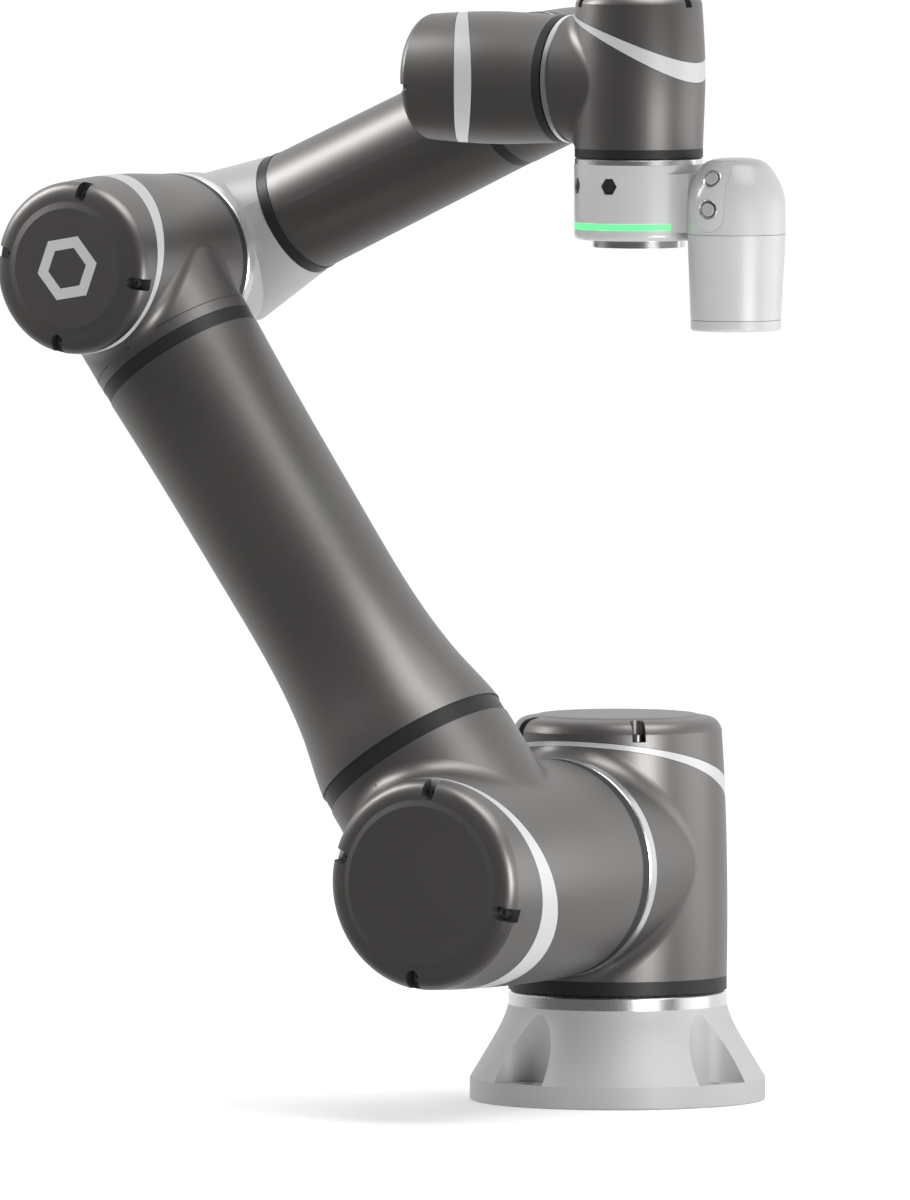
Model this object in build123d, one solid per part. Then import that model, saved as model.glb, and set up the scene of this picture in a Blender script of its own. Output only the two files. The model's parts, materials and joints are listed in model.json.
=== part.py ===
from build123d import *
import os
from collections import namedtuple
from math import cos, radians, sin, sqrt

# Six-axis collaborative robot arm with a camera head beside its tool flange.
# Frame: origin on the mounting plane at the first joint's axis, +Z up, -Y to the shoulder's side.
# Millimetres throughout.  Every joint module is modelled in its own frame: the joint's axis is Z,
# its cap faces +Z, its output faces -Z, and its side port or neck points along +X.

os.makedirs("parts", exist_ok=True)

# ---------------------------------------------------------------- arm geometry
SHOULDER_HEIGHT = 165.2      # second joint's axis above the mounting plane
UPPER_ARM_LENGTH = 500.0     # second axis to third axis
FOREARM_LENGTH = 317.3       # third axis to fourth axis
WRIST_OFFSET = 106.0         # fourth axis to sixth axis
TOOL_REACH = 113.15          # fifth axis to the tool flange's face
UPPER_ARM_PLANE = -189.0     # y of the upper arm's centre line
FOREARM_PLANE = -71.6        # y of the forearm's centre line
WRIST_PLANE = -179.5         # y of the fifth and sixth joints' centre line
UPPER_ARM_LEAN = 34.4        # degrees from vertical, toward -X
FOREARM_RISE = 24.65         # degrees above +X

RUN_GAP = 0.3                # between a turning ring and the seal or bore beside it
SEAM = 0.3                   # between housing, accent band and cap
SEAM_OVERRUN = 6.0           # seam blocks reach this far past the drum
HOLE_CLEARANCE = 0.1         # screw shanks in their holes, radial

# ---------------------------------------------------------------- joint modules
# radius: drum side at its widest.  output, cap: faces from the crossing of the module's axes.
# disc, bevel: radii of the cap's flat disc and of the bevel ring round it.
# rounding: height of the cap's rounded shoulder.
# high, low: heights of the accent band's two seams at the port, half way round and opposite the port.
# seal, ring: thicknesses at the output.  lip: their radius.  spigot: radius of the ring's spigot.
# screws: angles of the cap screws from the port.  circle: their radius.
# slot, sink: width and depth of the screw notches.
Size = namedtuple(
    "Size",
    "radius output cap disc bevel rounding wall high low seal ring lip spigot screws circle slot sink",
)
LARGE = Size(
    radius=75.5, output=79.2, cap=101.0, disc=54.0, bevel=58.0, rounding=10.5, wall=5.5,
    high=(86.5, 68.0, 39.5), low=(83.0, 59.0, 15.0), seal=9.5, ring=10.5, lip=75.4, spigot=42.0,
    screws=(40.0, 140.0, 220.0, 320.0), circle=63.0, slot=9.4, sink=15.5,
)
SHOULDER = LARGE._replace(
    output=85.0, cap=98.0, high=(86.2, 71.0, 45.8), low=(84.2, 61.5, 19.5),
)
MEDIUM = Size(
    radius=62.0, output=58.4, cap=81.5, disc=41.0, bevel=45.5, rounding=8.6, wall=5.0,
    high=(69.5, 52.0, 25.7), low=(65.0, 40.5, 2.5), seal=6.6, ring=10.0, lip=60.0, spigot=33.0,
    screws=(45.0, 135.0, 225.0, 315.0), circle=50.5, slot=8.0, sink=12.5,
)
SMALL = Size(
    radius=45.2, output=46.0, cap=60.0, disc=29.0, bevel=32.0, rounding=7.6, wall=4.0,
    high=(46.0, 32.5, 12.5), low=(44.3, 25.5, -1.2), seal=6.1, ring=4.5, lip=43.6, spigot=24.0,
    screws=(50.0, 170.0, 290.0), circle=36.0, slot=6.4, sink=10.0,
)
CREASE_TAPER = 0.049         # draw-in at the foot of the shoulder, as a share of the radius
BEVEL_DROP = 1.2             # bevel ring's foot below the disc

# drive unit: heights and radii as shares of the drum's radius
REDUCER_HEIGHT = 0.42
REDUCER_BORE = 0.30
MOTOR_HEIGHT = 0.42
STATOR_BORE = 0.56
ROTOR_RADIUS = 0.52
SHAFT_RADIUS = 0.20
SHAFT_BORE = 0.14
BRAKE_RADIUS = 0.50
BRAKE_HEIGHT = 0.16
BOARD_RADIUS = 0.55
BOARD_THICKNESS = 2.0
DRIVE_GAP = 1.5

# ports and necks: length, root radius, end radius, fillet into the drum
Neck = namedtuple("Neck", "length root end fillet")
SHOULDER_PORT = Neck(84.0, 72.0, 74.0, 16.0)
UPPER_NECK = Neck(92.4, 71.0, 69.3, 16.0)
ELBOW_NECK = Neck(71.8, 58.0, 57.7, 12.0)
FOREARM_NECK = Neck(57.0, 42.0, 41.7, 10.0)
WRIST_1_PORT = Neck(51.3, 42.0, 43.0, 10.0)
WRIST_2_PORT = Neck(49.4, 42.0, 43.0, 10.0)

# ---------------------------------------------------------------- links
UPPER_RING_WIDTH = 12.0      # shoulder end's clamp ring
ELBOW_RING_WIDTH = 10.0      # elbow end's clamp ring
FOREARM_RING_WIDTH = 8.0
TUBE_WALL = 5.0
UPPER_TUBE_RADII = ((0.0, 69.3), (20.0, 65.5), (38.0, 61.5), (57.0, 58.5), (80.0, 56.2), (157.0, 55.0))
UPPER_TUBE_WAIST = 56.0      # radius a little before the elbow end
UPPER_TUBE_WAIST_BACK = 59.0
UPPER_TUBE_END_RADIUS = 57.7
CASTING_NECK = 74.6          # elbow casting's neck length
CASTING_RADIUS = 60.0
CASTING_BACK = ((60.0, 25.0), (56.5, 0.0), (47.0, -23.0), (29.0, -40.0), (4.0, -46.0))
CASTING_ROOT = (55.0, 43.0)  # half height and half width of the neck's root
CASTING_END_RADIUS = 44.2
CASTING_WALL = 6.0
CASTING_BORE = 37.0
CLAMP_INSET = 0.8            # clamp rings stand below the neighbouring surfaces
FOREARM_TUBE_RADII = (42.9, 41.3)
FOREARM_BORE = 36.0

# ---------------------------------------------------------------- base
BASE_RADIUS = 102.0
BASE_RIM = 15.5
BASE_TOP = 66.0
BASE_BOLT_CIRCLE = 90.0      # radius
BASE_BOLT_RADIUS = 5.5
BASE_POCKET_RADIUS = 22.5
BASE_POCKET_OUT = 99.0       # pocket's centre line from the axis
BASE_FLARE = (87.0, 40.5)    # a point half way up the flare
BASE_BOLT_START = 74.5       # degrees from +X
CABLE_RECESS_RADIUS = 40.0
CONNECTOR_ANGLE = 119.5
CONNECTOR_HEIGHT = 38.0
CONNECTOR_RADIUS = 15.0
CONNECTOR_BACK = 50.0        # distances from the base's axis
CONNECTOR_MOUTH = 92.0
SOCKET_FLOOR = 82.0
SOCKET_RADIUS = 11.5
PIN_RADIUS = 1.2
PIN_LENGTH = 2.0
PIN_CIRCLE = 6.0             # radius
BASE_EDGE = 1.0              # chamfer under the rim
BASE_ROOF = 8.0              # casting left above the cable recess
CABLE_WAY = 0.6              # cable hole through each output, as a share of the spigot's radius

# ---------------------------------------------------------------- tool end
TOOL_RADIUS = 44.0
TOOL_TOP = -56.6             # from the fifth axis
TOOL_BOTTOM = -108.0
TOOL_WALL = 5.5
TOOL_EDGE = 4.0              # rounding of the lower rim
LIGHT_TOP = -96.3
LIGHT_BOTTOM = -100.5
LIGHT_DEPTH = 2.0
LIGHT_GAP_ANGLE = 32.0       # the light stops this far either side of the camera's web
FLANGE_RADIUS = 31.5
FLANGE_SEAT = -97.0
FLANGE_BORE = 15.75
FLANGE_BORE_DEPTH = 6.2
FLANGE_BOLT_CIRCLE = 25.0    # radius
FLANGE_BOLT_RADIUS = 2.5     # M6 tapping drill
FLANGE_BOLT_DEPTH = 10.0
FLANGE_DOWEL_RADIUS = 3.0
FLANGE_DOWEL_DEPTH = 8.0
FLANGE_CABLE_HOLE = 9.0      # radius
RECESS_FLATS = 10.8
RECESS_HEIGHT = -71.0
RECESS_DEPTH = 4.0
RECESS_ANGLES = (90.0, 135.0, 180.0, 225.0, 270.0)
CAMERA_OUT = 74.2            # camera head's centre from the sixth axis
CAMERA_RADIUS = 34.0
CAMERA_FLAT = 50.0           # inner flat, where the web meets it
CAMERA_TOP = -51.4
CAMERA_DOME = ((34.0, 38.5), (31.2, 19.0), (26.6, 10.5), (5.0, 0.0))    # radius, drop below the top
CAMERA_SEAM = -102.8
CAMERA_COVER = -160.9
CAMERA_BOTTOM = -168.4
CAMERA_FOOT_RADIUS = 31.0
CAMERA_WALL = 2.5
WEB_HALF_WIDTH = 23.0
WEB_TOP = -62.5
WEB_BOTTOM = -102.0
WEB_FILLET = 13.0
COVER_THICKNESS = 4.0
LENS_RADIUS = 13.0
WINDOW_THICKNESS = 2.0
BARREL_RADIUS = 9.0
BARREL_LENGTH = 25.0
PLATE_HALF_WIDTH = 12.0
PLATE_TOP = -53.0
PLATE_FOOT = -101.0
PLATE_OUT = -3.5             # plate's centre line from the camera head's centre
PLATE_INNER = 12.0           # the plate's window is cut from this depth outward
BUTTON_HEIGHTS = {"upper": -64.5, "lower": -85.5}
BUTTON_RADIUS = 4.6
BUTTON_PROUD = 0.6
BUTTON_LENGTH = 7.0
BUTTON_EDGE = 0.7
BUTTON_CLEARANCE = 0.4
BEZEL_RADIUS = 7.3
DIMPLE_RADIUS = 5.8          # foot of the shallow cone round each button
DIMPLE_DEPTH = 2.8
DIMPLE_FLOOR = 1.8           # its foot below the surface

nodes = {}


# ---------------------------------------------------------------- helpers
def turned(*edges):
    """A solid of revolution about Z from an outline of radius against height."""
    outline = [edge for part in edges for edge in (Plane.XZ * part).edges()]
    return revolve(make_face(outline), Axis.Z)


def turned_outline(points):
    """A solid of revolution whose outline is straight between its corners."""
    return revolve(make_face(Plane.XZ * Polyline(*points, close=True)), Axis.Z)


def rod(radius, low, high):
    """A round bar along Z between two heights."""
    return Pos(0, 0, (low + high) / 2) * Cylinder(radius, high - low)


def pipe(outer, inner, low, high):
    """A round tube along Z between two heights."""
    return rod(outer, low, high) - rod(inner, low - 1, high + 1)


def around(angle, radius=0.0):
    """A place at an angle about Z, pushed out by a radius."""
    return Rot(0, 0, angle) * Pos(radius, 0, 0)


def group(solids):
    """Separate solids kept in one node."""
    return Compound(children=list(solids))


# ---------------------------------------------------------------- joint module
def drum(s):
    """Outer solid of a joint drum: bowed side, creased shoulder, bevel ring and flat cap disc."""
    foot = (s.lip, -s.output)
    crease = (s.radius * (1 - CREASE_TAPER), s.cap - s.rounding)
    bevel_foot = (s.bevel, s.cap - BEVEL_DROP)
    width = crease[0] - bevel_foot[0]
    height = bevel_foot[1] - crease[1]
    crown = (crease[0] - 0.25 * width, crease[1] + 0.65 * height)
    side = Spline(foot, (s.radius, 0), crease, tangents=((0.02, 1), (-0.07, 1)))
    shoulder = Spline(crease, crown, bevel_foot, tangents=((-0.35, 1), (-1, 0.08)))
    rest = Polyline(bevel_foot, (s.disc, s.cap), (0, s.cap), (0, -s.output), foot)
    return turned(side, shoulder, rest)


def drum_cavity(s):
    """Room inside the drum for the drive, thick under the cap's shoulder."""
    floor = -s.output + s.wall
    lid = s.cap - s.wall
    foot = s.lip - s.wall
    head = s.radius * (1 - CREASE_TAPER) - s.wall
    waist = s.cap - 2.4 * s.rounding
    return turned_outline([(0, floor), (foot, floor), (foot, 0), (head, waist), (s.disc - 4, lid), (0, lid)])


def neck_cone(n, thickness=0.0):
    """The side port or neck, along +X, optionally thinned by a wall thickness."""
    cone = Pos(0, 0, n.length / 2) * Cone(n.root - thickness, n.end - thickness, n.length)
    return Plane.YZ.location * cone


def filleted_drum(s, n):
    """Drum and neck as one casting with a rounded junction."""
    body = drum(s) + neck_cone(n)
    junction = [
        e
        for e in body.edges()
        if e.geom_type == GeomType.BSPLINE
        and e.length > s.radius
        and e.bounding_box().min.X > 1
        and e.bounding_box().max.X < n.length - 0.5
    ]
    return fillet(junction, n.fillet)


def above_seam(s, seam, shift):
    """Block over one gently arched seam, which drops away from the port."""
    port, middle, far = seam
    reach = s.radius
    arc = ThreePointArc((-reach, far + shift), (0, middle + shift), (reach, port + shift))
    start = arc @ 0 - (arc % 0) * SEAM_OVERRUN
    end = arc @ 1 + (arc % 1) * SEAM_OVERRUN
    top = 2 * s.cap
    rest = Polyline(arc @ 1, end, (end.X, top), (start.X, top), start, arc @ 0)
    outline = Plane.XZ * make_face([*arc.edges(), *rest.edges()])
    return extrude(outline, s.radius + SEAM_OVERRUN, both=True)


def seam_height(s, seam, angle):
    """Height of a seam at a cap screw."""
    port, middle, far = seam
    along = cos(radians(angle)) * s.circle / s.radius
    return middle + along * (port - far) / 2 + along**2 * ((port + far) / 2 - middle)


def screw_bosses(s):
    """Columns inside the wall that the cap screws run into."""
    top = s.cap - s.sink + 1
    columns = [
        around(a, s.circle) * rod(0.75 * s.slot, seam_height(s, s.low, a) - 16, top) for a in s.screws
    ]
    return Part() + columns


def screw_cuts(s):
    """Open notches through the shoulder and the screw holes below them."""
    floor = s.cap - s.sink
    cuts = []
    for a in s.screws:
        deep = seam_height(s, s.low, a) - 12
        channel = Pos(s.slot, 0, floor + s.sink) * Box(2 * s.slot, s.slot, 2 * s.sink)
        notch = rod(s.slot / 2, floor, s.cap + 1) + channel
        hole = rod(0.26 * s.slot + HOLE_CLEARANCE, deep, floor + 1)
        cuts.append(around(a, s.circle) * (notch + hole))
    return cuts


def cap_screws(s):
    """Socket-head screws of one module, standing on the notch floors."""
    floor = s.cap - s.sink
    screws = []
    for a in s.screws:
        deep = seam_height(s, s.low, a) - 10
        head = rod(0.44 * s.slot, floor, floor + 0.5 * s.slot)
        socket = Pos(0, 0, floor + 0.25 * s.slot) * extrude(RegularPolygon(0.2 * s.slot, 6), 0.3 * s.slot)
        shank = rod(0.26 * s.slot, deep, floor)
        screws.append(around(a, s.circle) * (head - socket + shank))
    return screws


def module_castings(s, n):
    """Housing, accent band and cap, parted from one hollow casting by two arched seams."""
    hollow = filleted_drum(s, n) - drum_cavity(s) - neck_cone(n, s.wall)
    hollow -= rod(s.spigot + RUN_GAP, -s.output - 1, -s.output + s.wall + 1)
    casting = hollow + (screw_bosses(s) & drum(s)) - screw_cuts(s)
    half = SEAM / 2
    cap = casting & above_seam(s, s.high, half)
    band = (casting & above_seam(s, s.low, half)) - above_seam(s, s.high, -half)
    housing = casting - above_seam(s, s.low, -half)
    return housing, band, cap


def lip_seal(s):
    """Black ring that closes the drum's output side."""
    return pipe(s.lip, s.spigot + RUN_GAP, -s.output - s.seal, -s.output)


def output_ring(s):
    """Polished ring fixed to the neighbouring link; its spigot turns in the drum's bore."""
    low = -s.output - s.seal - s.ring
    high = -s.output - s.seal - RUN_GAP
    disc = rod(s.lip, low, high)
    rim = disc.edges().filter_by(GeomType.CIRCLE).sort_by(Axis.Z)[-1]
    spigot = rod(s.spigot, low, -s.output + s.wall - 0.6)
    return chamfer(rim, 0.22 * s.ring) + spigot - rod(CABLE_WAY * s.spigot, low - 1, 0)


def drive_unit(s):
    """Strain-wave reducer, motor stator, rotor with hollow shaft, brake disc and control board."""
    r = s.radius
    reach = s.circle - 0.75 * s.slot - DRIVE_GAP
    floor = -s.output + s.wall
    reducer_top = floor + REDUCER_HEIGHT * r
    motor_top = reducer_top + DRIVE_GAP + MOTOR_HEIGHT * r
    brake_top = motor_top + BRAKE_HEIGHT * r
    board = brake_top + DRIVE_GAP
    rotor = rod(ROTOR_RADIUS * r, reducer_top + DRIVE_GAP, motor_top - DRIVE_GAP)
    rotor += rod(SHAFT_RADIUS * r, floor + DRIVE_GAP, brake_top)
    rotor -= rod(SHAFT_BORE * r, floor, brake_top + 1)
    return group([
        pipe(reach, REDUCER_BORE * r, floor, reducer_top),
        pipe(reach, STATOR_BORE * r, reducer_top, motor_top),
        rotor,
        pipe(BRAKE_RADIUS * r, SHAFT_RADIUS * r + DRIVE_GAP, motor_top + DRIVE_GAP, brake_top),
        pipe(BOARD_RADIUS * r, SHAFT_BORE * r, board, board + BOARD_THICKNESS),
    ])


def add_module(name, s, n, frame):
    """All pieces of one joint module, placed in the arm; returns its cap screws."""
    housing, band, cap = module_castings(s, n)
    nodes[f"{name}_housing"] = frame.location * housing
    nodes[f"{name}_accent_band"] = frame.location * band
    nodes[f"{name}_cap"] = frame.location * cap
    nodes[f"{name}_lip_seal"] = frame.location * lip_seal(s)
    nodes[f"{name}_output_ring"] = frame.location * output_ring(s)
    nodes[f"{name}_drive_unit"] = frame.location * drive_unit(s)
    return [frame.location * screw for screw in cap_screws(s)]


# ---------------------------------------------------------------- base
def pedestal_side():
    """Concave flare from the rim up to the first joint's ring."""
    foot = (BASE_RADIUS, BASE_RIM)
    head = (LARGE.lip, BASE_TOP)
    return Spline(foot, BASE_FLARE, head, tangents=((-0.6, 1), (-0.25, 1)))


def base_pedestal():
    """Flared casting with four open bolt pockets and a cable recess from below."""
    head = [(LARGE.lip, BASE_TOP), (0, BASE_TOP), (0, 0)]
    foot = [(BASE_RADIUS - BASE_EDGE, 0), (BASE_RADIUS, BASE_EDGE), (BASE_RADIUS, BASE_RIM)]
    body = turned(pedestal_side(), Polyline(*head, *foot))
    body -= rod(CABLE_RECESS_RADIUS, -1, BASE_TOP - BASE_ROOF)
    body -= rod(CABLE_WAY * LARGE.spigot, 0, BASE_TOP + 1)
    for i in range(4):
        place = around(BASE_BOLT_START + 90 * i)
        body -= place * Pos(BASE_POCKET_OUT, 0, 0) * rod(BASE_POCKET_RADIUS, BASE_RIM, BASE_TOP)
        body -= place * Pos(BASE_BOLT_CIRCLE, 0, 0) * rod(BASE_BOLT_RADIUS, -1, BASE_RIM + 1)
    outward = around(CONNECTOR_ANGLE) * Pos(0, 0, CONNECTOR_HEIGHT) * Rot(0, 90, 0)
    return body - outward * rod(CONNECTOR_RADIUS, CABLE_RECESS_RADIUS - 5, BASE_RADIUS)


def base_connector():
    """Round socket let into the back of the pedestal, its mouth facing outward."""
    shell = rod(CONNECTOR_RADIUS, CONNECTOR_BACK, CONNECTOR_MOUTH)
    shell -= rod(SOCKET_RADIUS, SOCKET_FLOOR, CONNECTOR_MOUTH + 1)
    pin = rod(PIN_RADIUS, SOCKET_FLOOR - 1, SOCKET_FLOOR + PIN_LENGTH)
    pins = [around(60 * i, PIN_CIRCLE) * pin for i in range(6)]
    outward = around(CONNECTOR_ANGLE) * Pos(0, 0, CONNECTOR_HEIGHT) * Rot(0, 90, 0)
    return outward * (shell + pins)


# ---------------------------------------------------------------- links
def upper_arm_tube(start, end):
    """Tube that narrows quickly from the shoulder and widens a little toward the elbow."""
    outer = [(r, start + t) for t, r in UPPER_TUBE_RADII]
    outer.append((UPPER_TUBE_WAIST, end - UPPER_TUBE_WAIST_BACK))
    outer.append((UPPER_TUBE_END_RADIUS, end))
    inner = [(r - TUBE_WALL, z) for r, z in outer]
    skin = turned(Spline(*outer), Polyline(outer[-1], (0, end), (0, start), outer[0]))
    core = turned(Spline(*inner), Polyline(inner[-1], (0, end), (0, start), inner[0]))
    return skin - core


def elbow_casting():
    """Light drum on the third joint with an oval neck that meets the forearm tube."""
    face = abs(UPPER_ARM_PLANE - FOREARM_PLANE) - MEDIUM.output - MEDIUM.seal - MEDIUM.ring
    r = CASTING_RADIUS
    low = CASTING_BACK[-1][1]
    back = Spline((r, face), *CASTING_BACK, tangents=((0, -1), (-1, -0.02)))
    body = turned(back, Polyline(CASTING_BACK[-1], (0, low), (0, face), (r, face)))
    along = Plane(origin=(0, 0, 0), x_dir=(0, 1, 0), z_dir=(1, 0, 0))
    root = along.offset(0.3 * r) * Ellipse(*CASTING_ROOT)
    body += loft([root, along.offset(CASTING_NECK) * Circle(CASTING_END_RADIUS)])
    body -= Pos(0, 0, face + r / 2) * Box(4 * r, 4 * r, r)
    inside = [(0, face - CASTING_WALL)]
    inside += [(radius - CASTING_WALL, z) for radius, z in ((r, face - CASTING_WALL), *CASTING_BACK[:3])]
    inside += [(0, CASTING_BACK[2][1])]
    bore = Plane.YZ.location * rod(CASTING_BORE, 0, CASTING_NECK + 1)
    return body - turned_outline(inside) - bore - rod(CABLE_WAY * MEDIUM.spigot, 0, face + 1)


def forearm_tube(start, end):
    """Slightly tapered tube between the forearm's clamp rings."""
    big, small = FOREARM_TUBE_RADII
    skin = turned_outline([(0, start), (big, start), (small, end), (0, end)])
    return skin - rod(FOREARM_BORE, start - 1, end + 1)


# ---------------------------------------------------------------- tool end
def recess_place(angle, depth):
    """Outward-facing place on the tool body's side, a given depth below its surface."""
    return around(angle) * Pos(TOOL_RADIUS - depth, 0, RECESS_HEIGHT) * Rot(0, 90, 0)


def hexagon(flats):
    """Hexagon with flats at top and bottom once it stands on the tool's side."""
    return RegularPolygon(flats / sqrt(3), 6, rotation=30)


def web_plan():
    """Tool body's circle with the web to the camera head, joined by hollow corners."""
    web = Pos(CAMERA_FLAT / 2, 0) * Rectangle(CAMERA_FLAT, 2 * WEB_HALF_WIDTH)
    plan = Circle(TOOL_RADIUS) + web
    crossing = sqrt(TOOL_RADIUS**2 - WEB_HALF_WIDTH**2)
    corners = [v for v in plan.vertices() if abs(v.X - crossing) < 1]
    return fillet(corners, WEB_FILLET)


def tool_body():
    """Round casting below the sixth joint, with a web toward the camera head."""
    body = rod(TOOL_RADIUS, TOOL_BOTTOM, TOOL_TOP)
    lower_rim = body.edges().filter_by(GeomType.CIRCLE).sort_by(Axis.Z)[0]
    body = fillet(lower_rim, TOOL_EDGE)
    body += Pos(0, 0, WEB_BOTTOM) * extrude(web_plan(), WEB_TOP - WEB_BOTTOM)
    body -= rod(TOOL_RADIUS - TOOL_WALL, FLANGE_SEAT + TOOL_WALL, TOOL_TOP - TOOL_WALL)
    body -= rod(CABLE_WAY * SMALL.spigot, TOOL_TOP - TOOL_WALL - 1, TOOL_TOP + 1)
    body -= rod(FLANGE_RADIUS + HOLE_CLEARANCE, TOOL_BOTTOM - 1, FLANGE_SEAT)
    body -= light_sweep(TOOL_RADIUS + 1, TOOL_RADIUS - LIGHT_DEPTH)
    for angle in RECESS_ANGLES:
        body -= recess_place(angle, RECESS_DEPTH) * extrude(hexagon(RECESS_FLATS), 2 * RECESS_DEPTH)
    return body


def light_sweep(outer, inner):
    """Part ring that leaves the web free."""
    ring = pipe(outer, inner, LIGHT_BOTTOM, LIGHT_TOP)
    far = 2 * TOOL_RADIUS
    edge = (far * cos(radians(LIGHT_GAP_ANGLE)), far * sin(radians(LIGHT_GAP_ANGLE)))
    wedge = Polyline((0, 0), edge, (edge[0], -edge[1]), close=True)
    return ring - Pos(0, 0, LIGHT_BOTTOM - 1) * extrude(make_face(wedge), LIGHT_TOP - LIGHT_BOTTOM + 2)


def tool_flange():
    """ISO 9409-1-50-4-M6 flange with its centring bore, four threads and dowel hole."""
    flange = rod(FLANGE_RADIUS, -TOOL_REACH, FLANGE_SEAT)
    flange -= rod(FLANGE_BORE, -TOOL_REACH - 1, -TOOL_REACH + FLANGE_BORE_DEPTH)
    flange -= rod(FLANGE_CABLE_HOLE, -TOOL_REACH, FLANGE_SEAT + 1)
    for i in range(4):
        thread = rod(FLANGE_BOLT_RADIUS, -TOOL_REACH - 1, -TOOL_REACH + FLANGE_BOLT_DEPTH)
        flange -= around(45 + 90 * i, FLANGE_BOLT_CIRCLE) * thread
    dowel = rod(FLANGE_DOWEL_RADIUS, -TOOL_REACH - 1, -TOOL_REACH + FLANGE_DOWEL_DEPTH)
    return flange - around(0, FLANGE_BOLT_CIRCLE) * dowel


# ---------------------------------------------------------------- camera head
def beyond_flat(body, thin):
    """The part of a round body outside the camera head's inner flat."""
    edge = CAMERA_FLAT - CAMERA_OUT + thin
    return split(body, bisect_by=Plane(origin=(edge, 0, 0), x_dir=(0, 1, 0), z_dir=(1, 0, 0)), keep=Keep.TOP)


def dome_curve(thin=0.0):
    """Side view of the dome from its spring line to the small flat on top."""
    points = [(r - thin, CAMERA_TOP - drop - thin) for r, drop in CAMERA_DOME]
    return Spline(*points, tangents=((0, 1), (-1, 0)))


def camera_dome(thin=0.0):
    """Upper half of the camera head: a full dome on a short round wall."""
    r = CAMERA_RADIUS - thin
    curve = dome_curve(thin)
    rest = Polyline(curve @ 1, (0, CAMERA_TOP - thin), (0, CAMERA_SEAM), (r, CAMERA_SEAM), curve @ 0)
    return beyond_flat(turned(curve, rest), thin)


def plate_prism(side, slack=0.0):
    """Tall rounded slot shape through one side of the dome; side is -1 for -Y."""
    half = PLATE_HALF_WIDTH - slack
    low = PLATE_FOOT + slack + half
    high = PLATE_TOP - slack
    bar = Pos(PLATE_OUT, (low + high) / 2) * Rectangle(2 * half, high - low)
    outline = bar + Pos(PLATE_OUT, low) * Circle(half)
    depth = CAMERA_RADIUS - PLATE_INNER
    wall = extrude(Plane.XZ * outline, -depth if side > 0 else depth)
    return Pos(0, side * PLATE_INNER, 0) * wall


def surface_point(height):
    """Radius and outward tilt, in degrees from level, of the dome's surface at a height."""
    curve = dome_curve()
    low, high = 0.0, 1.0
    for _ in range(30):
        middle = (low + high) / 2
        if (curve @ middle).Y < height:
            low = middle
        else:
            high = middle
    tangent = curve % low
    normal = Vector(tangent.Y, -tangent.X, 0)
    return (curve @ low).X, normal.get_angle(Vector(1, 0, 0))


def button_place(side, height):
    """Place on the dome's surface whose Z axis points outward along a button's travel."""
    radius, tilt = surface_point(height)
    out = sqrt(radius**2 - PLATE_OUT**2)
    direction = (0, side * cos(radians(tilt)), sin(radians(tilt)))
    return Plane(origin=(PLATE_OUT, side * out, height), x_dir=(1, 0, 0), z_dir=direction).location


def button_room():
    """Cuts for all four buttons: a shallow cone round a clear hole."""
    cone = Pos(0, 0, DIMPLE_DEPTH / 2 - DIMPLE_FLOOR) * Cone(DIMPLE_RADIUS, BEZEL_RADIUS, DIMPLE_DEPTH)
    hole = rod(BUTTON_RADIUS + BUTTON_CLEARANCE, -2 * BUTTON_LENGTH, 2)
    room = cone + hole
    return [button_place(side, h) * room for side in (-1, 1) for h in BUTTON_HEIGHTS.values()]


def push_button(side, height):
    """One push button standing slightly proud in its hole."""
    body = rod(BUTTON_RADIUS, -BUTTON_LENGTH, BUTTON_PROUD)
    crown = body.edges().filter_by(GeomType.CIRCLE).sort_by(Axis.Z)[-1]
    return button_place(side, height) * fillet(crown, BUTTON_EDGE)


def camera_upper_shell():
    """Domed shell open below, with a window for each button plate."""
    return camera_dome() - camera_dome(CAMERA_WALL) - plate_prism(-1) - plate_prism(1)


def button_plates():
    """The two curved button plates, flush with the dome."""
    skin = camera_dome() - camera_dome(CAMERA_WALL)
    plates = [skin & plate_prism(side, SEAM / 2) for side in (-1, 1)]
    return [plate - button_room() for plate in plates]


def camera_taper(thin=0.0):
    """Lower half of the camera head, slightly narrower at the foot."""
    head = CAMERA_RADIUS - thin
    foot = CAMERA_FOOT_RADIUS - thin
    high = CAMERA_SEAM - SEAM
    outline = [(0, high), (head, high), (foot, CAMERA_COVER), (0, CAMERA_COVER)]
    return beyond_flat(turned_outline(outline), thin)


def camera_lower_shell():
    """Tapered shell between the dome and the bottom cover."""
    return camera_taper() - camera_taper(CAMERA_WALL)


def camera_bottom_cover():
    """Shallow cover with a round opening for the lens window."""
    cover = rod(CAMERA_FOOT_RADIUS, CAMERA_BOTTOM, CAMERA_COVER - SEAM)
    rim = cover.edges().filter_by(GeomType.CIRCLE).sort_by(Axis.Z)[0]
    cover = beyond_flat(fillet(rim, CAMERA_WALL), 0.0)
    cover -= rod(CAMERA_FOOT_RADIUS - 2 * CAMERA_WALL, CAMERA_BOTTOM + COVER_THICKNESS, CAMERA_COVER)
    return cover - rod(LENS_RADIUS, CAMERA_BOTTOM - 1, CAMERA_COVER)


def camera_lens():
    """Lens window and barrel, looking down."""
    window_foot = CAMERA_BOTTOM + 1.0
    window_top = window_foot + WINDOW_THICKNESS
    window = rod(LENS_RADIUS - HOLE_CLEARANCE, window_foot, window_top)
    return window + rod(BARREL_RADIUS, window_top, window_top + BARREL_LENGTH)


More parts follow.
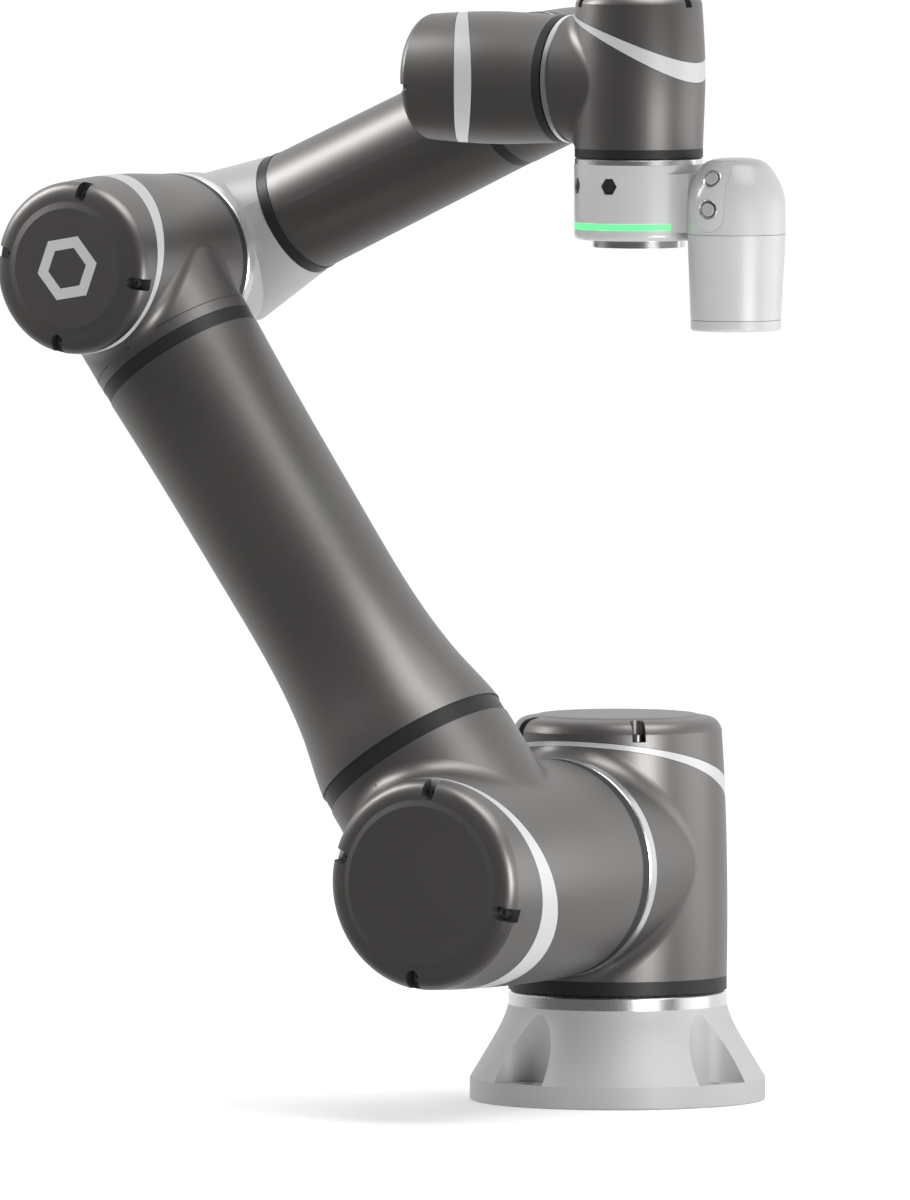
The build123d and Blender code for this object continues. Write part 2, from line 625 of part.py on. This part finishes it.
# ---------------------------------------------------------------- assembly
lean = radians(UPPER_ARM_LEAN)
rise = radians(FOREARM_RISE)
upper_direction = Vector(-sin(lean), 0, cos(lean))
forearm_direction = Vector(cos(rise), 0, sin(rise))
shoulder_centre = Vector(0, UPPER_ARM_PLANE, SHOULDER_HEIGHT)
elbow_centre = shoulder_centre + upper_direction * UPPER_ARM_LENGTH
forearm_elbow = Vector(elbow_centre.X, FOREARM_PLANE, elbow_centre.Z)
forearm_wrist = forearm_elbow + forearm_direction * FOREARM_LENGTH
wrist_1_centre = Vector(forearm_wrist.X, WRIST_PLANE, forearm_wrist.Z)
wrist_2_centre = wrist_1_centre + Vector(WRIST_OFFSET, 0, 0)

j1_frame = Plane(origin=(0, 0, SHOULDER_HEIGHT), x_dir=(0, -1, 0), z_dir=(0, 0, 1))
j2_frame = Plane(origin=shoulder_centre, x_dir=upper_direction, z_dir=(0, -1, 0))
j3_frame = Plane(origin=elbow_centre, x_dir=-upper_direction, z_dir=(0, -1, 0))
j4_frame = Plane(origin=forearm_wrist, x_dir=-forearm_direction, z_dir=(0, 1, 0))
j5_frame = Plane(origin=wrist_1_centre, x_dir=(0, 1, 0), z_dir=(-1, 0, 0))
j6_frame = Plane(origin=wrist_2_centre, x_dir=(-1, 0, 0), z_dir=(0, 0, 1))

nodes["base_pedestal"] = base_pedestal()
nodes["base_connector"] = base_connector()
j1_screws = add_module("j1", LARGE, SHOULDER_PORT, j1_frame)
j2_screws = add_module("j2", SHOULDER, UPPER_NECK, j2_frame)
j3_screws = add_module("j3", MEDIUM, ELBOW_NECK, j3_frame)
j4_screws = add_module("j4", SMALL, FOREARM_NECK, j4_frame)
j5_screws = add_module("j5", SMALL, WRIST_1_PORT, j5_frame)
j6_screws = add_module("j6", SMALL, WRIST_2_PORT, j6_frame)
nodes["shoulder_cap_screws"] = group(j1_screws)
nodes["upper_arm_cap_screws"] = group(j2_screws + j3_screws)
nodes["forearm_cap_screws"] = group(j4_screws)
nodes["wrist_1_cap_screws"] = group(j5_screws)
nodes["wrist_2_cap_screws"] = group(j6_screws)

upper_frame = Plane(origin=shoulder_centre, x_dir=(0, -1, 0), z_dir=upper_direction).location
tube_start = UPPER_NECK.length + UPPER_RING_WIDTH
tube_end = UPPER_ARM_LENGTH - ELBOW_NECK.length - ELBOW_RING_WIDTH
ring_bore = UPPER_NECK.end - TUBE_WALL
lower_ring = pipe(UPPER_NECK.end - CLAMP_INSET, ring_bore, UPPER_NECK.length, tube_start)
ring_bore = ELBOW_NECK.end - TUBE_WALL
elbow_ring = pipe(ELBOW_NECK.end - CLAMP_INSET / 2, ring_bore, tube_end, tube_end + ELBOW_RING_WIDTH)
nodes["upper_arm_tube"] = upper_frame * upper_arm_tube(tube_start, tube_end)
nodes["upper_arm_clamp_rings"] = group([upper_frame * lower_ring, upper_frame * elbow_ring])

casting_frame = Plane(origin=forearm_elbow, x_dir=forearm_direction, z_dir=(0, -1, 0))
forearm_frame = Plane(origin=forearm_elbow, x_dir=(0, -1, 0), z_dir=forearm_direction).location
forearm_start = CASTING_NECK + FOREARM_RING_WIDTH
forearm_end = FOREARM_LENGTH - FOREARM_NECK.length - FOREARM_RING_WIDTH
ring_1 = pipe(CASTING_END_RADIUS - CLAMP_INSET, CASTING_BORE, CASTING_NECK, forearm_start)
ring_2 = pipe(FOREARM_NECK.end - CLAMP_INSET / 2, FOREARM_BORE, forearm_end, forearm_end + FOREARM_RING_WIDTH)
nodes["forearm_elbow_casting"] = casting_frame.location * elbow_casting()
nodes["forearm_tube"] = forearm_frame * forearm_tube(forearm_start, forearm_end)
nodes["forearm_clamp_rings"] = group([forearm_frame * ring_1, forearm_frame * ring_2])

tool_frame = Location(wrist_2_centre)
camera_frame = Location(wrist_2_centre + Vector(CAMERA_OUT, 0, 0))
nodes["tool_body"] = tool_frame * tool_body()
nodes["tool_light_ring"] = tool_frame * light_sweep(TOOL_RADIUS, TOOL_RADIUS - LIGHT_DEPTH)
nodes["tool_flange"] = tool_frame * tool_flange()
nodes["camera_upper_shell"] = camera_frame * camera_upper_shell()
nodes["camera_lower_shell"] = camera_frame * camera_lower_shell()
nodes["camera_bottom_cover"] = camera_frame * camera_bottom_cover()
nodes["camera_lens"] = camera_frame * camera_lens()
nodes["camera_button_plates"] = group([camera_frame * plate for plate in button_plates()])
for side, side_name in ((-1, "front"), (1, "rear")):
    for level, height in BUTTON_HEIGHTS.items():
        nodes[f"button_{side_name}_{level}"] = camera_frame * push_button(side, height)

for name, shape in nodes.items():
    export_step(shape, f"parts/{name}.step")
    print(name, len(shape.solids()), round(shape.volume))
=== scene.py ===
import json
from math import cos, pi, radians, sin, sqrt
import bpy
from mathutils import Matrix, Vector


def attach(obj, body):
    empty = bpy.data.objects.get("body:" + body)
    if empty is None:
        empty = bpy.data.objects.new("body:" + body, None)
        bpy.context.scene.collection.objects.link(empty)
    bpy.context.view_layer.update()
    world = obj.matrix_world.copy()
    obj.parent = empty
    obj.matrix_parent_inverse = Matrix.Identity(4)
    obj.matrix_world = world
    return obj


# The arm's looks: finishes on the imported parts, the small trim they carry, floor, light and camera.
# Lengths are in metres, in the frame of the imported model.

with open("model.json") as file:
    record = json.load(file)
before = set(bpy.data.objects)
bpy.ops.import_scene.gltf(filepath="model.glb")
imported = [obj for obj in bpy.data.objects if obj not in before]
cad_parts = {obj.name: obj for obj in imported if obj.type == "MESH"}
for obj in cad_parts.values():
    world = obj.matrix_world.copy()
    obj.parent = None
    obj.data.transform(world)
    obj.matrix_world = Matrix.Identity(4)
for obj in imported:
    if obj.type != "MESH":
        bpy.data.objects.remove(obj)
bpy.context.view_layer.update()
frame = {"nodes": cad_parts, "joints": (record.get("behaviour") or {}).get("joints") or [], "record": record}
nodes = frame["nodes"]

# ---------------------------------------------------------------- arm geometry
LEAN = radians(34.4)
RISE = radians(24.65)
UPPER = Vector((-sin(LEAN), 0, cos(LEAN)))
FOREARM = Vector((cos(RISE), 0, sin(RISE)))
SHOULDER = Vector((0, -0.189, 0.1652))
ELBOW = SHOULDER + 0.5 * UPPER
WRIST = Vector((ELBOW.x + 0.3173 * FOREARM.x, -0.1795, ELBOW.z + 0.3173 * FOREARM.z))
TOOL = WRIST + Vector((0.106, 0, 0))
FRONT = Vector((0, -1, 0))
TOP = Vector((0, 0, 1))

# ---------------------------------------------------------------- trim sizes
ELBOW_DISC = 0.0815           # elbow cap's face from its joint's centre
EMBLEM_OUTER = 0.0235         # corner radii of the hexagonal ring
EMBLEM_INNER = 0.0150
EMBLEM_LEVELS = (-0.0003, 0.0001)
EMBLEM_UP = Vector((0.35, 0, 0.94))
TOOL_RADIUS = 0.044
RECESS_HEIGHT = -0.071
RECESS_FLATS = 0.0108
RECESS_ANGLES = (90, 135, 180, 225, 270)
PLUG_FOOT = 0.0038            # plug's back below the tool body's surface
PLUG_THICKNESS = 0.0022
PLUG_GAP = 0.0002
SEAM_BELOW_ELBOW = 0.0640
SEAM_RADIUS = 0.0578
SEAM_DEPTH = 0.00012
SEAM_HALF_WIDTH = 0.0002
BUTTON_PROUD = 0.0006
BEZEL_OUTLINE = (             # radius, and height above the dome
    (0.00510, -0.00170), (0.00665, -0.00170), (0.00672, -0.00020), (0.00655, 0.00006),
    (0.00625, 0.00010), (0.00605, -0.00010), (0.00590, -0.00060), (0.00560, -0.00070), (0.00515, -0.00110),
)
# black discs that paint the shade inside the castings' small drain holes
DRAIN_SHADE_RADIUS = 0.0009
DRAIN_SHADE_LEVELS = (-0.0004, 0.00005)
DRAIN_HOLE_SHADES = (               # casting, its body, and the hole's place across and up the view
    ("j3_housing", "upper_arm", -0.3358, 0.5166),
    ("j2_housing", "upper_arm", -0.1660, 0.2178),
    ("j1_housing", "shoulder", 0.0141, 0.2026),
)
SEAM_STEPS = 160
BEZEL_STEPS = 72
DRAIN_SHADE_STEPS = 20

# ---------------------------------------------------------------- view
AZIMUTH = radians(28.5)
ELEVATION = radians(3.3)
BACK = Vector((sin(AZIMUTH) * cos(ELEVATION), -cos(AZIMUTH) * cos(ELEVATION), sin(ELEVATION)))
RIGHT = Vector((cos(AZIMUTH), sin(AZIMUTH), 0))
UP = BACK.cross(RIGHT)
AIM = -0.1121 * RIGHT + 0.3440 * UP
LENS = 660.0
SENSOR = 36.0
FRAME_HEIGHT = 0.828          # seen across the picture's long side
FLOOR_HALF = 120.0
FLOOR_LIFT = 0.16             # glow that brings the floor up to white
BRIGHT_SIDE = (0.15 * RIGHT - BACK + 0.3 * UP).normalized()


# ---------------------------------------------------------------- materials
NOISE_MIDDLE = (0.3, 0.7)     # range that most of a noise's values fall in
BROAD_SCALE = 9.0
GLOW_SCALE = 40.0
BUMP_DISTANCE = 0.0002


def link(tree, source, output, target, socket):
    """Joins a node's output to another node's socket."""
    tree.links.new(source.outputs[output], target.inputs[socket])


def noise(tree, coords, scale, detail=2.0):
    """A noise texture in the object's own coordinates."""
    node = tree.nodes.new("ShaderNodeTexNoise")
    node.inputs["Scale"].default_value = scale
    node.inputs["Detail"].default_value = detail
    link(tree, coords, "Object", node, "Vector")
    return node


def spread(tree, source, low, high):
    """A noise's middle range stretched between two values."""
    node = tree.nodes.new("ShaderNodeMapRange")
    node.inputs["From Min"].default_value = NOISE_MIDDLE[0]
    node.inputs["From Max"].default_value = NOISE_MIDDLE[1]
    node.inputs["To Min"].default_value = low
    node.inputs["To Max"].default_value = high
    link(tree, source, "Fac", node, "Value")
    return node


def surface(name, color, rough, metal=0.0, coat=0.0, coat_rough=0.08, wear=0.05, grain=0.06, size=2500.0):
    """A painted or machined finish: slight drift of colour and gloss over a fine grain."""
    material = bpy.data.materials.new(name)
    material.use_nodes = True
    tree = material.node_tree
    shader = tree.nodes["Principled BSDF"]
    coords = tree.nodes.new("ShaderNodeTexCoord")
    broad = noise(tree, coords, BROAD_SCALE, 3.0)
    fine = noise(tree, coords, size)
    tint = tree.nodes.new("ShaderNodeMix")
    tint.data_type = "RGBA"
    tint.inputs[6].default_value = [c * (1 - wear) for c in color] + [1]
    tint.inputs[7].default_value = [min(1, c * (1 + wear)) for c in color] + [1]
    link(tree, spread(tree, broad, 0.0, 1.0), "Result", tint, 0)
    tree.links.new(tint.outputs[2], shader.inputs["Base Color"])
    gloss = spread(tree, fine, rough * 0.9, rough * 1.1)
    link(tree, gloss, "Result", shader, "Roughness")
    bump = tree.nodes.new("ShaderNodeBump")
    bump.inputs["Strength"].default_value = grain
    bump.inputs["Distance"].default_value = BUMP_DISTANCE
    link(tree, fine, "Fac", bump, "Height")
    link(tree, bump, "Normal", shader, "Normal")
    shader.inputs["Metallic"].default_value = metal
    shader.inputs["Coat Weight"].default_value = coat
    shader.inputs["Coat Roughness"].default_value = coat_rough
    return material


def glowing(name, color, strength):
    """A diffuser lit from inside, a little uneven along its length."""
    material = surface(name, color, 0.35)
    tree = material.node_tree
    shader = tree.nodes["Principled BSDF"]
    coords = tree.nodes.new("ShaderNodeTexCoord")
    drift = spread(tree, noise(tree, coords, GLOW_SCALE), strength * 0.94, strength * 1.06)
    shader.inputs["Emission Color"].default_value = [*color, 1]
    link(tree, drift, "Result", shader, "Emission Strength")
    return material


PAINT = {
    "dark_paint": surface("dark_paint", (0.225, 0.217, 0.211), 0.41, metal=0.93, coat=0.08, coat_rough=0.35),
    "silver_band": surface("silver_band", (0.60, 0.60, 0.61), 0.42, metal=0.3),
    "seal_rubber": surface("seal_rubber", (0.012, 0.012, 0.012), 0.45, size=4000.0),
    "polished_ring": surface("polished_ring", (0.90, 0.90, 0.91), 0.26, metal=1.0, grain=0.02),
    "drive_steel": surface("drive_steel", (0.50, 0.50, 0.51), 0.35, metal=1.0),
    "screw_steel": surface("screw_steel", (0.30, 0.30, 0.31), 0.30, metal=1.0),
    "clamp_black": surface("clamp_black", (0.016, 0.016, 0.016), 0.40),
    "light_paint": surface("light_paint", (0.44, 0.44, 0.445), 0.42, metal=0.1),
    "connector_black": surface("connector_black", (0.020, 0.020, 0.020), 0.35),
    "tool_paint": surface("tool_paint", (0.50, 0.50, 0.505), 0.30, metal=0.1, coat=0.3),
    "flange_metal": surface("flange_metal", (0.78, 0.78, 0.79), 0.22, metal=1.0),
    "light_green": glowing("light_green", (0.10, 1.0, 0.22), 0.85),
    "lens_glass": surface("lens_glass", (0.008, 0.008, 0.010), 0.05, coat=1.0),
    "button_plate": surface("button_plate", (0.50, 0.50, 0.505), 0.25, coat=0.6),
    "camera_plastic": surface("camera_plastic", (0.47, 0.47, 0.475), 0.32, coat=0.3, coat_rough=0.2),
    "button_grey": surface("button_grey", (0.34, 0.34, 0.345), 0.35, coat=0.3),
}


def paint_parts():
    """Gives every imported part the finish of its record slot."""
    for part in frame["record"]["subparts"]:
        node = nodes[part["node"]]
        node.data.materials.clear()
        node.data.materials.append(PAINT[part["material_slot"]])


# ---------------------------------------------------------------- trim
def place(origin, out, up):
    """Matrix whose Z axis points out and whose X axis points up as nearly as it can."""
    z = out.normalized()
    x = (up - up.dot(z) * z).normalized()
    turn = Matrix((x, z.cross(x), z)).transposed()
    return Matrix.Translation(origin) @ turn.to_4x4()


def add_piece(name, shape, body, slot, matrix, smooth=False):
    """A new mesh piece of corners and faces that rides on a body, finished as its slot says."""
    mesh = bpy.data.meshes.new(name)
    mesh.from_pydata(shape[0], [], shape[1])
    mesh.transform(matrix)
    mesh.update()
    for face in mesh.polygons:
        face.use_smooth = smooth
    mesh.materials.append(PAINT[slot])
    piece = bpy.data.objects.new(name, mesh)
    bpy.context.scene.collection.objects.link(piece)
    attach(piece, body)


def prism(outline, low, high):
    """Corners and faces of a solid slab over an outline, counter-clockwise."""
    n = len(outline)
    corners = [(x, y, low) for x, y in outline] + [(x, y, high) for x, y in outline]
    sides = [(i, (i + 1) % n, n + (i + 1) % n, n + i) for i in range(n)]
    return corners, [tuple(reversed(range(n))), tuple(range(n, 2 * n))] + sides


def polygon(sides, radius, turn=0.0):
    """Corners of a regular polygon round the origin."""
    angles = [turn + 2 * pi * i / sides for i in range(sides)]
    return [(radius * cos(angle), radius * sin(angle)) for angle in angles]


def turned_ring(profile, steps):
    """Corners and faces of a closed outline of radius and height, turned about Z."""
    n = len(profile)
    corners = [(r * x, r * y, z) for x, y in polygon(steps, 1.0) for r, z in profile]
    faces = []
    for i in range(steps):
        a, b = n * i, n * ((i + 1) % steps)
        faces += [(a + k, b + k, b + (k + 1) % n, a + (k + 1) % n) for k in range(n)]
    return corners, faces


def button_bezels():
    """Bright stepped bezel round each push button."""
    for joint in frame["joints"]:
        name = joint["child"]
        if not name.startswith("button"):
            continue
        out = -Vector(joint["axis"]).normalized()
        axes = place(Vector(), out, TOP).to_3x3()
        local = [corner.co @ axes for corner in nodes[name].data.vertices]
        middle = [(min(c[i] for c in local) + max(c[i] for c in local)) / 2 for i in range(2)]
        dome_height = max(c.z for c in local) - BUTTON_PROUD
        matrix = place(axes @ Vector((*middle, dome_height)), out, TOP)
        shape = turned_ring(BEZEL_OUTLINE, BEZEL_STEPS)
        add_piece(f"{name}_bezel", shape, "tool", "polished_ring", matrix, smooth=True)


def emblem():
    """Plain hexagonal ring on the elbow cap's disc."""
    outline = polygon(6, EMBLEM_OUTER) + polygon(6, EMBLEM_INNER)
    corners = [(x, y, z) for z in EMBLEM_LEVELS for x, y in outline]
    faces = []
    for i in range(6):
        j = (i + 1) % 6
        faces += [(12 + i, 12 + j, 18 + j, 18 + i), (i, 6 + i, 6 + j, j)]
        faces += [(i, j, 12 + j, 12 + i), (6 + j, 6 + i, 18 + i, 18 + j)]
    matrix = place(ELBOW + ELBOW_DISC * FRONT, FRONT, EMBLEM_UP)
    add_piece("elbow_emblem", (corners, faces), "upper_arm", "silver_band", matrix)


def recess_plugs():
    """Black plugs inside the tool body's hexagonal recesses."""
    for i, angle in enumerate(RECESS_ANGLES):
        out = Vector((cos(radians(angle)), sin(radians(angle)), 0))
        foot = TOOL + (TOOL_RADIUS - PLUG_FOOT) * out + RECESS_HEIGHT * TOP
        shape = prism(polygon(6, RECESS_FLATS / sqrt(3) - PLUG_GAP, pi / 6), 0.0, PLUG_THICKNESS)
        add_piece(f"tool_recess_plug_{i + 1}", shape, "tool", "connector_black", place(foot, out, TOP))


def collar_seam():
    """Fine dark joint line where the elbow's collar meets its casting."""
    radii = (SEAM_RADIUS - SEAM_DEPTH, SEAM_RADIUS + SEAM_DEPTH)
    profile = [(radii[0], -SEAM_HALF_WIDTH), (radii[1], -SEAM_HALF_WIDTH)]
    profile += [(radii[1], SEAM_HALF_WIDTH), (radii[0], SEAM_HALF_WIDTH)]
    matrix = place(ELBOW - SEAM_BELOW_ELBOW * UPPER, -UPPER, FRONT)
    shape = turned_ring(profile, SEAM_STEPS)
    add_piece("upper_arm_collar_seam", shape, "upper_arm", "clamp_black", matrix, smooth=True)


def drain_hole_shades():
    """Flat black discs that paint the shade inside small drain holes in the castings."""
    for i, (node, body, across, high) in enumerate(DRAIN_HOLE_SHADES):
        hit, point, normal, _ = nodes[node].ray_cast(across * RIGHT + high * UP + 3 * BACK, -BACK)
        if hit:
            # a near-black disc, slightly proud of the casting, stands for the hole's shaded inside; no hole
            # is cut
            shape = prism(polygon(DRAIN_SHADE_STEPS, DRAIN_SHADE_RADIUS), *DRAIN_SHADE_LEVELS)
            matrix = place(point, normal, TOP)
            add_piece(f"{node}_drain_hole_shade_{i + 1}", shape, body, "seal_rubber", matrix)


# ---------------------------------------------------------------- stage
def add_light(name, kind, location, target, energy, **settings):
    """A light that shines from its location toward a target."""
    data = bpy.data.lights.new(name, kind)
    data.energy = energy
    for key, value in settings.items():
        setattr(data, key, value)
    light = bpy.data.objects.new(name, data)
    bpy.context.scene.collection.objects.link(light)
    light.location = location
    light.rotation_mode = "QUATERNION"
    light.rotation_quaternion = (target - location).to_track_quat("-Z", "Y")


def add_panel(name, location, target, energy, width, height):
    """A rectangular soft box."""
    add_light(name, "AREA", location, target, energy, shape="RECTANGLE", size=width, size_y=height)


def floor():
    """White floor, hidden from mirror reflections so that the paint mirrors only the studio."""
    corners = [(x * FLOOR_HALF, y * FLOOR_HALF, 0) for x, y in ((-1, -1), (1, -1), (1, 1), (-1, 1))]
    mesh = bpy.data.meshes.new("floor")
    mesh.from_pydata(corners, [], [(0, 1, 2, 3)])
    finish = surface("floor_white", (0.90, 0.90, 0.90), 0.7, wear=0.003, grain=0.0, size=30.0)
    shader = finish.node_tree.nodes["Principled BSDF"]
    shader.inputs["Emission Color"].default_value = (1, 1, 1, 1)
    shader.inputs["Emission Strength"].default_value = FLOOR_LIFT
    shader.inputs["Specular IOR Level"].default_value = 0.0
    mesh.materials.append(finish)
    plane = bpy.data.objects.new("floor", mesh)
    bpy.context.scene.collection.objects.link(plane)
    plane.visible_glossy = False


def surroundings():
    """White behind the arm, dimmer on the near side."""
    world = bpy.data.worlds.new("studio")
    world.use_nodes = True
    tree = world.node_tree
    background = tree.nodes["Background"]
    coords = tree.nodes.new("ShaderNodeTexCoord")
    toward = tree.nodes.new("ShaderNodeVectorMath")
    toward.operation = "DOT_PRODUCT"
    toward.inputs[1].default_value = BRIGHT_SIDE
    link(tree, coords, "Generated", toward, 0)
    level = tree.nodes.new("ShaderNodeMapRange")
    level.inputs["From Min"].default_value = -0.3
    level.inputs["From Max"].default_value = 0.9
    level.inputs["To Min"].default_value = 0.12
    level.inputs["To Max"].default_value = 0.9
    link(tree, toward, "Value", level, "Value")
    link(tree, level, "Result", background, "Strength")
    background.inputs["Color"].default_value = (1, 1, 1, 1)
    bpy.context.scene.world = world


def studio():
    """Soft light from above, two panels low on the right and a strip high on the left."""
    add_light("overhead", "SUN", Vector((0.9, -0.2, 2.6)), Vector((0, 0, 0)), 1.75, angle=radians(45))
    base = Vector((0, -0.1, 0.22))
    add_panel("key_panel", base + 0.62 * RIGHT + 0.95 * BACK - 0.02 * UP, base, 6.0, 0.45, 0.4)
    add_panel("side_panel", base + 1.15 * RIGHT + 0.1 * UP, base, 2.6, 0.9, 0.7)
    middle = Vector((-0.1, -0.15, 0.4))
    strip = middle - 1.5 * RIGHT - 0.2 * BACK + 1.2 * UP
    add_panel("left_strip", strip, middle + 0.2 * UP, 18, 0.5, 1.2)


def camera():
    """A long lens that looks along -BACK with the picture's sides along RIGHT and UP."""
    data = bpy.data.cameras.new("camera")
    data.lens = LENS
    data.sensor_width = SENSOR
    data.clip_start = 0.5
    data.clip_end = 400.0
    viewer = bpy.data.objects.new("camera", data)
    bpy.context.scene.collection.objects.link(viewer)
    distance = FRAME_HEIGHT * LENS / SENSOR
    turn = Matrix((RIGHT, UP, BACK)).transposed().to_4x4()
    viewer.matrix_world = Matrix.Translation(AIM + distance * BACK) @ turn
    bpy.context.scene.camera = viewer


paint_parts()
emblem()
recess_plugs()
collar_seam()
button_bezels()
drain_hole_shades()
floor()
surroundings()
studio()
camera()
bpy.context.scene.view_settings.view_transform = "Standard"
